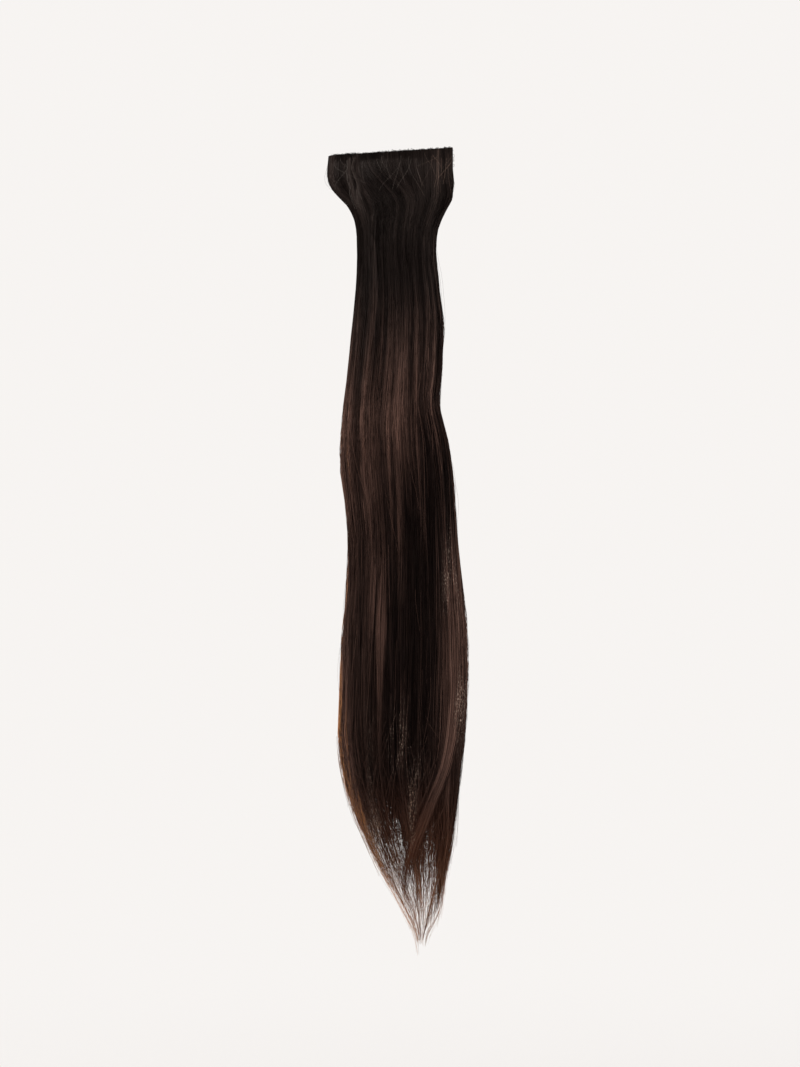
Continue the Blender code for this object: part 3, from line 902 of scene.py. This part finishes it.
class HAIR_OT_strands(bpy.types.Operator):
    """Comb the single hairs, in locks, over the whole tress"""

    bl_idname = "hairpiece.strands"
    bl_label = "Single hairs"

    # Where each part starts and ends on the way round
    PARTS = {
        "hair_right": (-0.070, 0.130),
        "hair_front": (0.130, 0.330),
        "hair_fold": (0.330, 0.530),
        "hair_back_left": (0.530, 0.730),
        "hair_back_right": (0.730, 0.930),
    }
    # Sways on the way round: each lock's, each hair's own, and that of all the hair
    LOCK_SWAY, HAIR_SWAY, SWING = 0.009, 0.0020, 0.011
    # How unevenly the locks end: the spread of a bell, as a share of the drop
    UNEVEN_TIPS = 0.014
    # Hairs that stray from their lock: spread on the way round, and the drops where they do
    STRAYING = ((0.022, 0.72, 1.0), (0.045, 0.84, 1.0))
    # Metres: how deep the locks roll, how far loose hairs stand off, how high the roots start
    ROLLING, LOOSE, ROOT_LIFT = 0.0004, 0.0022, 0.0009
    # The deepest that hair lies where the tips thin out, as a share of the local depth
    THINNED_DEPTH = 0.34
    # The share of wider hairs, and their width
    WIDER_SHARE, WIDER = 0.12, 1.7

    def execute(self, context):
        sizes = context.scene.hair_sizes
        material = hair_finish("single hairs", 0.27)
        for number, (name, (start, end)) in enumerate(self.PARTS.items()):
            rng = np.random.default_rng(sizes.seed + number)
            self.comb(rng, name, start, end, sizes, material)
        return {"FINISHED"}

    def comb(self, rng, name, start, end, sizes, material):
        """Hairs of one part. Each follows its lock, which narrows and sways down its fall."""
        locks, each = sizes.locks, (sizes.hairs, 1)
        spacing = (end - start) / locks
        lock_place = start + spacing * (np.arange(locks) + rng.uniform(0.0, 1.0, locks))
        lock_tone = rng.beta(0.8, 1.1, locks)
        lock_sunk = rng.uniform(-0.0003, 0.0010, locks)
        lock_phase = rng.uniform(0, 1, (2, locks))
        lock_sway = rng.uniform(0.4, 1.6, locks) * self.LOCK_SWAY
        lock_wide = spacing * rng.uniform(0.9, 2.2, locks)

        own = rng.integers(0, locks, each)
        beside = near_middle(rng, 0.5, each)
        below = rng.uniform(0, 1, each)
        tip = np.interp(rng.random(each), TIPS[:, 0], TIPS[:, 1])
        tip = tip + rng.normal(0, self.UNEVEN_TIPS, locks)[own]
        tip = tip + longer_at_edges(lock_place[own])
        phase = rng.uniform(0, 1, (2, *each))[0]
        share = RIGHT_LEVELS if name == "hair_right" else HAIR_LEVELS
        drop = np.minimum(tip, 1.0) * share

        # The way round at each level
        sway = lock_sway[own] * wave(1.15 * drop + lock_phase[0][own])
        own_sway = self.HAIR_SWAY * wave(2.1 * drop + phase)
        narrow = 1.2 - 0.8 * rise(drop, 0.55, 0.97)
        around = lock_place[own] + beside * lock_wide[own] * narrow
        swing = self.SWING * wave(1.5 * drop + 0.9 * around + 0.1)
        around = around + (sway + own_sway + swing) * rise(drop, 0.06, 0.35)
        for spread, low, high in self.STRAYING:
            around = around + rng.normal(0, spread, each) * rise(drop, low, high)
        around = TRESS.fall_straight(rng, around + bunching(around, drop), drop)

        # Tone: the lock's and the hair's own, the sheaves, streaks of painted highlight and shade,
        # and lighter tips whose tone passes 1 into the painted glow
        light = rng.beta(0.8, 1.2, each)
        tone = 0.30 * lock_tone[own] + 0.50 * rng.beta(0.7, 2.2, each)
        tone = tone * (0.45 + 1.1 * sheaf_tone(around, drop))
        tone = tone + light_and_shade_streaks(around, drop) * (0.25 + 1.75 * light)
        tone = tone * (1 + 0.35 * wave(2.3 * drop + lock_phase[1][own]))
        tone = tone * (1.10 - 0.30 * rise(drop, 0.38, 0.55))
        tone = np.clip(tone, 0, 2) ** 1.4 + 0.70 * rise(drop, 0.89, 0.99)

        # Depth: the lock's and the hair's own, more at the thinned tips, less for loose hairs
        around = roots_apart(around + swept_start(around, drop), drop)
        settled = rise(drop, 0.03, 0.12)
        rolling = self.ROLLING * wave(5 * drop + lock_phase[1][own])
        inside = (
            (lock_sunk[own] + rolling) * settled
            + sizes.relief * (beside ** 2) * settled
            + sizes.lock_depth * below * (0.35 + 0.65 * settled)
        )
        pinch = pinch_at_seam(around, drop)
        inside = inside * (1 - 0.7 * fade(drop, 0.0, GATHERED_BY)) + pinch
        flat_side = rise(np.abs(from_right(around) - 0.25), 0.25, 0.14)
        thinned = rise(drop, 0.78, 0.97) * rng.uniform(0, 1, each)
        deepest = self.THINNED_DEPTH * TRESS_DEPTH * through(SECTIONS, 3, drop)
        inside = inside + deepest * thinned * flat_side
        right = fade(from_right(around), 0.03, 0.10)
        loose = right * (rise(drop, 0.50, 0.60) - rise(drop, 0.76, 0.86))
        inside = inside - self.LOOSE * loose * rng.random(each) ** 2

        centres, outward = TRESS.at(around, drop, inside)
        centres[..., 2] += self.ROOT_LIFT * fade(drop, 0.0, 0.01)
        wide = np.where(rng.random(each) < self.WIDER_SHARE, self.WIDER, 1.0)
        widths = sizes.width * (wide * rng.uniform(0.6, 1.25, each)) * taper(share)
        strand_piece(name, (centres, outward), widths, np.clip(tone, 0, 2), drop, material)


class HAIR_OT_strays(bpy.types.Operator):
    """Lay the crossing lock, the locks and hairs at the tips and in the crease, and stray hairs"""

    bl_idname = "hairpiece.strays"
    bl_label = "Crossing and stray hairs"

    def execute(self, context):
        sizes = context.scene.hair_sizes
        rng = np.random.default_rng(sizes.seed + 50)
        self.crossing_lock(rng, sizes)
        self.tip_locks(rng, sizes)
        self.tip_hairs(rng, sizes)
        self.crease_locks(rng, sizes)
        self.stray_hairs(rng, sizes)
        return {"FINISHED"}

    def crossing_lock(self, rng, sizes):
        """A lock down the right edge that sweeps over the front along one smooth curve."""
        each, share = (sizes.crossing_hairs, 1), np.linspace(0, 1, 22)
        beside = near_middle(rng, 0.55, each)
        below = rng.uniform(0, 1, each)
        phase = rng.uniform(0, 1, each)
        start = 0.44 + 0.14 * rng.random(each)
        tip = 0.885 + 0.06 * rng.random(each) - 0.03 * np.abs(beside)
        drop = start + (tip - start) * share
        spread = 0.0066 - 0.0020 * rise(drop, 0.68, 0.80)
        x = through(CROSSING, 1, drop) + beside * spread
        around = TRESS.around_at(x + 0.0003 * wave(2.4 * drop + phase), drop)
        sunk = 0.004 * fade(drop, start, start + 0.16)
        inside = 0.0012 * below + 0.0008 * beside ** 2 - 0.0009 + sunk
        tone = -0.12 + 1.10 * rng.beta(0.5, 1.3, each)
        # A painted highlight where the lock turns over the right edge, half way down
        tone = tone + 0.34 * rise(drop, 0.52, 0.64) * fade(drop, 0.72, 0.84)
        tone = np.clip(tone * (1 - 0.45 * rise(drop, 0.76, 0.86)), 0, 1.2)
        widths = sizes.width * rng.uniform(0.6, 1.2, each) * taper(share)
        lay_hairs("hair_crossing", "crossing hairs", 0.30, around, drop, inside, widths, tone)

    def tip_locks(self, rng, sizes):
        """Pointed locks under the single hairs at the tips, narrowing by a power of their share."""
        each, share = (sizes.tip_locks, 1), np.linspace(0, 1, 10)
        start = rng.uniform(0.66, 0.78, each)
        end = np.interp(rng.random(each), TIPS[:, 0], TIPS[:, 1] + 0.012)
        drop = np.minimum(start + (end - start) * share, 0.99)
        around = rng.uniform(0, 1, each) + rng.normal(0, 0.02, each) * share
        around = TRESS.fall_straight(rng, around, drop)
        inside = 0.0016 + 0.0050 * rng.random(each) * rise(drop, 0.70, 0.90)
        tone = 0.25 * rng.random(each) + 0.45 * rise(drop, 0.88, 0.99)
        widths = 0.0014 * rng.uniform(0.4, 1.1, each) * (1.02 - share) ** 0.8
        lay_hairs("hair_tip_locks", "tip locks", 0.34, around, drop, inside, widths, tone)

    def tip_hairs(self, rng, sizes):
        """Thin light hairs that fan out at the tips, further outwards by their share squared."""
        each, share = (sizes.tip_hairs, 1), np.linspace(0, 1, 11)
        start = rng.uniform(0.70, 0.90, each)
        end = np.minimum(start + rng.uniform(0.07, 0.17, each), 1.0)
        drop = start + (end - start) * share
        around = rng.uniform(0, 1, each) + rng.normal(0, 0.10, each) * share
        around = TRESS.fall_straight(rng, around, drop)
        fan = rng.gamma(1.2, 0.0006, each) * share**2
        inside = 0.0015 * rng.random(each) * (1 - share) - fan
        centres, outward = TRESS.at(around, drop, inside)
        over = rng.gamma(1.3, 0.0020, each) * share**2
        centres[..., 2] -= over * rise(drop, 0.86, 1.0)
        light = rng.random((2, *each))
        # Lighter at the ends and along the left edge, where the tone passes 1 into the painted warm
        # glow of light through thin hair
        tone = 0.10 + 0.35 * light[0] + (0.4 + 1.1 * light[1]) * rise(drop, 0.88, 0.97)
        tone = tone + 0.9 * rise(from_right(around), 0.41, 0.47)
        widths = sizes.width * 0.8 * (1 - 0.50 * share) * rng.uniform(0.6, 1.1, each)
        material = hair_finish("tip hairs", 0.32)
        strand_piece("hair_tips", (centres, outward), widths, tone, drop, material)

    def crease_locks(self, rng, sizes):
        """Two thin wavy locks in the crease: smooth curves down the front that sink in lower down."""
        each = (sizes.crease_hairs, 1)
        second = rng.random(each) < 0.45
        end = 0.20 + 0.08 * rng.random(each)
        drop = end * np.linspace(0, 1, 22) ** 1.6
        beside = near_middle(rng, 0.5, each)
        x = np.where(second, through(CREASE_LOCKS, 2, drop), through(CREASE_LOCKS, 1, drop))
        around = TRESS.around_at(x + beside * (0.0009 + 0.0008 * rise(drop, 0, 0.06)), drop)
        sink = 0.0045 * rise(drop, 0.06, end)
        proud = 0.0004 * rng.random(each) * rise(drop, 0.0, 0.01)
        inside = pinch_at_seam(around, drop) + sink - proud
        tone = 0.35 + 1.15 * rng.random(each) ** 2 - 0.8 * rise(drop, 0.05, 0.12)
        tone = np.clip(tone, 0, 1.5)
        widths = sizes.width * 0.8
        lay_hairs("hair_crease", "crease hairs", 0.34, around, drop, inside, widths, tone)

    def stray_hairs(self, rng, sizes):
        """Thin hairs that leave the tress and come back: their height is half a sine wave."""
        each, share = (sizes.stray_hairs, 1), np.linspace(0, 1, 15)
        start = np.where(rng.random(each) < 0.45, 0.0, rng.uniform(0.0, 0.90, each))
        lower = start > 0
        length = np.where(lower, rng.uniform(0.06, 0.22, each), rng.uniform(0.02, 0.06, each))
        drop = np.minimum(start + length * share, 1.0)
        place = rng.uniform(0, 1, each)
        slant = rng.normal(0, 1, each) * np.where(lower, 0.016, 0.032)
        around = roots_apart(place + slant * np.sin(3 * share + 1.0), drop)
        lift = 0.0022 * rng.random(each) ** 2 + 0.0004
        inside = 0.0006 - (lift + 0.0006) * np.sin(math.pi * share) + pinch_at_seam(around, drop)
        tone = np.where(lower, rng.beta(2, 2, each), rng.uniform(0.7, 1.7, each))
        widths = sizes.width * np.where(lower, 0.45, 0.42)
        lay_hairs("hair_strays", "stray hairs", 0.34, around, drop, inside, widths, tone)


class HAIR_OT_seam(bpy.types.Operator):
    """Make the sewn roll along the top, with its wraps of thread, hair roots and thread ends"""

    bl_idname = "hairpiece.seam"
    bl_label = "Sewn seam"

    # Loops of thread: layer, height, how far they stand out, how tall they are, and their lean
    LOOPS = (
        (-1, -0.0050, 0.0012, 0.0018, 0.3),
        (-1, -0.0078, 0.0010, 0.0013, -0.5),
        (-1, -0.0105, 0.0011, 0.0015, 0.2),
        (1, -0.0060, 0.0011, 0.0016, -0.3),
        (1, -0.0096, 0.0012, 0.0014, 0.4),
    )

    # Points along the roll and round it, and how far each wrap leans
    POINTS, SIDES, LEAN = 740, 10, 0.3
    # Width of a hair root, and the start of the roots' random draws
    ROOT_WIDTH, ROOT_SEED = 0.00016, 21

    def execute(self, context):
        sizes = context.scene.weft_sizes
        path, lengths, out = even_tape(self.POINTS)
        turn = np.arange(self.SIDES) / self.SIDES * 2 * math.pi
        lean = self.LEAN * np.sin(turn)
        wraps = lengths[:, None] / sizes.wrap_pitch
        wrap = np.abs(np.sin(math.pi * wraps + lean)) ** 0.7
        radius = SEAM_RADIUS - sizes.wrap_relief * (1 - wrap)
        tape_tube(
            "seam_roll", path, out, radius * np.cos(turn), -SEAM_RADIUS + radius * np.sin(turn),
            self.finish(sizes), "sewn_seam", (wraps, turn),
        )
        self.root_hairs(path, out, context.scene.hair_sizes.root_hairs)
        self.end_threads(sizes)
        return {"FINISHED"}

    def root_hairs(self, path, out, count):
        """Short bent hair roots on the roll: half circles across it, leaning at random."""
        rng = np.random.default_rng(self.ROOT_SEED)
        each, levels = (count, 1), 6
        share = np.linspace(0, 1, levels)
        at = rng.integers(4, len(path) - 4, each)
        turn = share * rng.uniform(1.6, 3.0, each)
        turn = turn + rng.uniform(0.1, 0.9, each)
        lift = SEAM_RADIUS + 0.0001 + rng.gamma(1.6, 0.00016, each) * np.sin(math.pi * share)
        lean = rng.normal(0, 0.0006, each) * np.linspace(-1, 1, levels)
        flat = path[at] + (lift * np.cos(turn))[..., None] * out[at]
        flat = flat - lean[..., None] * turned(out[at])
        facing = [np.cos(turn)[..., None] * out[at], np.sin(turn)[..., None]]
        laid = tilted(flat, -SEAM_RADIUS + lift * np.sin(turn)), np.concatenate(facing, axis=-1)
        tone = rng.beta(1.2, 2.4, each)
        material = hair_finish("root hairs", 0.4)
        strand_piece("seam_root_hairs", laid, self.ROOT_WIDTH, tone, 0.0, material)

    def end_threads(self, sizes):
        """Loose thread loops at the free ends of the weft: ovals that stand out at the right."""
        turn = np.linspace(0.12, 0.88, 18) * 2 * math.pi
        centres, outward = [], []
        for side, z, wide, tall, lean in self.LOOPS:
            x = FREE_X - 0.0001 + wide * (1 - np.cos(turn)) * 0.4
            y = side * LAYER_OFFSET + lean * 0.0008 * np.sin(turn)
            centres.append(tilted(np.stack([x, y], axis=1), z - tall * 0.5 * np.sin(turn)))
            outward.append(np.broadcast_to([0.0, side, 0.0], (len(turn), 3)))
        # The light colour, far lighter than the seam's thread, is a painted glint on the loops, mixed
        # in by the thread's twist noise
        dark, light = rgba((0.04, 0.033, 0.030)), rgba((0.42, 0.37, 0.34))
        thread_piece(
            "weft_end_threads", "sewn_seam", centres, outward, sizes.thread_radius * 1.4,
            thread_finish("end thread", 1200, dark, light, 0.4, 0.6),
        )

    def finish(self, sizes):
        """Thread over hair: a tone for each wrap, and fine fibres that lean round the roll."""
        finish = Finish("seam thread")
        wrap, turn = finish.uv()
        each = finish.noise(finish.vector(wrap * 0.9, 0.0), 1.0)
        fibre = finish.noise(finish.vector(wrap * 9 + turn * 2, turn * 0.7), 2.0)
        share = finish.span(0.5 * each + 0.5 * fibre, 0.35, 0.7)
        dark, light = (rgba(sizes.thread_colour, times) for times in (0.5, 1.9))
        return finish.done(
            Base_Color=finish.mix(share, dark, light), Roughness=finish.rough(fibre, 0.5, 0.75),
            Normal=finish.bump(fibre, 0.6, 0.0001),
        )


class HAIR_OT_tape(bpy.types.Operator):
    """Make the woven tape with its rows of zigzag stitches"""

    bl_idname = "hairpiece.tape"
    bl_label = "Tape and stitches"

    # Metres: the tape's rounded edge, and the pitch and height of its ribs
    EDGE, RIB_PITCH, RIB_HEIGHT = 0.00035, 0.0018, 0.00004
    # Heights of the stitch rows as shares of the tape's, from its top, and half a zigzag's height
    STITCH_ROWS, ZIGZAG = (0.22, 0.76), 0.0011

    def execute(self, context):
        sizes = context.scene.weft_sizes
        path, lengths, out = even_tape(320)
        half, edge = BAND_THICKNESS / 2, self.EDGE
        rows = np.linspace(BAND_TOP - edge, BAND_BOTTOM + edge, 9)
        section = np.array(
            [(half, z) for z in rows] + [(half - edge, BAND_BOTTOM), (edge - half, BAND_BOTTOM)]
            + [(-half, z) for z in rows[::-1]] + [(edge - half, BAND_TOP), (half - edge, BAND_TOP)]
        )
        ribs = self.RIB_HEIGHT * np.sin(2 * math.pi * lengths / self.RIB_PITCH)[:, None]
        millimetres = 1000
        uv = lengths[:, None] * millimetres, section[:, 1] * millimetres
        tape_tube(
            "tape", path, out, section[:, 0] * (1 + ribs / half), section[:, 1],
            self.finish(sizes), "weft_band", uv,
        )
        self.stitches(sizes, path, lengths, out)
        return {"FINISHED"}

    def finish(self, sizes):
        """A plain weave: sine ribs along and across, in millimetres of the tape's own map."""
        finish = Finish("woven tape")
        u, v = finish.uv()
        warp = (u * (2 * math.pi / 0.8)).maths("SINE")
        weft = (v * (2 * math.pi / 0.5)).maths("SINE")
        fuzz = finish.noise(finish.vector(u * 3, v * 3), 3.0)
        weave = finish.span(warp * weft + 0.8 * fuzz, -0.6, 1.4)
        dark, light = (rgba(sizes.tape_colour, times) for times in (0.6, 2.6))
        return finish.done(
            Base_Color=finish.mix(weave, dark, light), Roughness=finish.rough(fuzz, 0.75, 0.95),
            Normal=finish.bump(weave, 0.7, 0.0002),
        )

    def stitches(self, sizes, path, lengths, out):
        """Two zigzag rows on the tape's inner face: a triangle wave, rounded, along the path."""
        zigzag = np.arcsin(0.97 * np.sin(2 * math.pi * lengths / sizes.stitch_pitch)) / 1.33
        place = path - (BAND_THICKNESS / 2 + sizes.thread_radius * 0.4) * out
        rows = [BAND_TOP - BAND_HEIGHT * row + self.ZIGZAG * zigzag for row in self.STITCH_ROWS]
        inward = np.concatenate([-out, np.zeros((len(path), 1))], axis=1)
        dark, light = (rgba(sizes.thread_colour, times) for times in (1.2, 3.5))
        thread_piece(
            "tape_stitches", "weft_band", [tilted(place, row) for row in rows],
            [inward for _ in rows], sizes.thread_radius * 2,
            thread_finish("stitch thread", 900, dark, light, 0.45, 0.7),
        )


class HAIR_OT_clips(bpy.types.Operator):
    """Give the snap clips their worn lacquer"""

    bl_idname = "hairpiece.clips"
    bl_label = "Snap clips"

    def execute(self, context):
        clip_colour = context.scene.weft_sizes.clip_colour
        finish = Finish("clip lacquer")
        grain = finish.grain(3.0, 300, 300, 2400)
        worn = finish.span(finish.grain(4.0, 700, 700, 700), 0.62, 0.72)
        material = finish.done(
            Base_Color=finish.mix(worn, rgba(clip_colour), rgba(clip_colour, 9)),
            Metallic=finish.span(worn, 0.0, 1.0, 0.35, 0.95),
            Roughness=finish.rough(grain, 0.24, 0.42), Normal=finish.bump(grain, 0.25, 0.00005),
        )
        for name in ("snap_clip_front", "snap_clip_back"):
            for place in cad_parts[name].material_slots:
                place.material = material
        return {"FINISHED"}


class HAIR_OT_studio(bpy.types.Operator):
    """Set the floor, the soft lights, the pale room and the camera"""

    bl_idname = "hairpiece.studio"
    bl_label = "Studio"

    def execute(self, context):
        scene = context.scene
        sizes = scene.studio_sizes
        world = bpy.data.worlds.new("pale room")
        world.use_nodes = True
        background = world.node_tree.nodes["Background"]
        background.inputs[0].default_value = rgba(sizes.sky)
        background.inputs[1].default_value = 1.0
        scene.world = world
        scene.view_settings.view_transform = "Standard"

        finish = Finish("pale floor")
        cloud = finish.grain(2.0, 3, 3, 3)
        colour = finish.mix(cloud, rgba(sizes.sky, 0.70), rgba(sizes.sky, 0.72))
        where = finish.scaled(1, 1, 0)
        away = finish.node("ShaderNodeVectorMath", {"operation": "LENGTH"}, {0: where}, output=1)
        near = finish.span(away, 0.5, 2.6, 1.0, 0.0)
        material = finish.done(Base_Color=colour, Roughness=0.9, Alpha=near * near)
        side = 3.0
        mesh = bpy.data.meshes.new("floor")
        corners = [(-side, -side), (side, -side), (side, side), (-side, side)]
        mesh.from_pydata([(x, y, -sizes.floor_drop) for x, y in corners], [], [(0, 1, 2, 3)])
        mesh.materials.append(material)
        floor = bpy.data.objects.new("floor", mesh)
        scene.collection.objects.link(floor)

        middle = Vector((sizes.view_x, 0.0, sizes.view_z))
        for name, place, power, size in (
            ("key", (-1.3, -1.9, 0.9), sizes.key_power, 1.1),
            ("fill", (1.9, -1.2, 0.3), sizes.fill_power, 1.4),
            ("back", (-1.5, 1.3, 1.2), sizes.fill_power, 1.0),
        ):
            lamp = bpy.data.lights.new(name, "AREA")
            lamp.energy = power
            lamp.shape = "DISK"
            lamp.size = size
            light = bpy.data.objects.new(name, lamp)
            light.location = middle + Vector(place)
            light.rotation_euler = (-Vector(place)).to_track_quat("-Z", "Y").to_euler()
            scene.collection.objects.link(light)

        view = bpy.data.cameras.new("camera")
        view.sensor_width = 36.0
        view.lens = view.sensor_width * sizes.distance / sizes.view_height
        view.clip_start = 0.05
        camera = bpy.data.objects.new("camera", view)
        camera.location = middle + Vector((0, -sizes.distance, 0))
        camera.rotation_euler = (math.pi / 2, 0, 0)
        scene.collection.objects.link(camera)
        scene.camera = camera
        return {"FINISHED"}


OPERATORS = (
    HAIR_OT_body, HAIR_OT_strands, HAIR_OT_strays, HAIR_OT_seam, HAIR_OT_tape, HAIR_OT_clips,
    HAIR_OT_studio,
)
SETTINGS = {
    "hair_sizes": HairSizes,
    "hair_colours": HairColours,
    "weft_sizes": WeftSizes,
    "studio_sizes": StudioSizes,
}


class HAIR_PT_panel(bpy.types.Panel):
    """The hairpiece's pieces and their sizes"""

    bl_idname = "HAIR_PT_panel"
    bl_label = "Filler hairpiece"
    bl_space_type = "VIEW_3D"
    bl_region_type = "UI"
    bl_category = "Hairpiece"

    def draw(self, context):
        for operator in OPERATORS:
            self.layout.operator(operator.bl_idname)
        for name, group in SETTINGS.items():
            box = self.layout.box()
            for field in group.__annotations__:
                box.prop(getattr(context.scene, name), field)


def register():
    for group in (*SETTINGS.values(), *OPERATORS, HAIR_PT_panel):
        bpy.utils.register_class(group)
    for name, group in SETTINGS.items():
        setattr(bpy.types.Scene, name, PointerProperty(type=group))


def unregister():
    for name in SETTINGS:
        delattr(bpy.types.Scene, name)
    for group in (HAIR_PT_panel, *OPERATORS[::-1], *SETTINGS.values()):
        bpy.utils.unregister_class(group)


def main():
    register()
    bpy.ops.hairpiece.body()
    bpy.ops.hairpiece.strands()
    bpy.ops.hairpiece.strays()
    bpy.ops.hairpiece.seam()
    bpy.ops.hairpiece.tape()
    bpy.ops.hairpiece.clips()
    bpy.ops.hairpiece.studio()


if __name__ == "__main__":
    main()
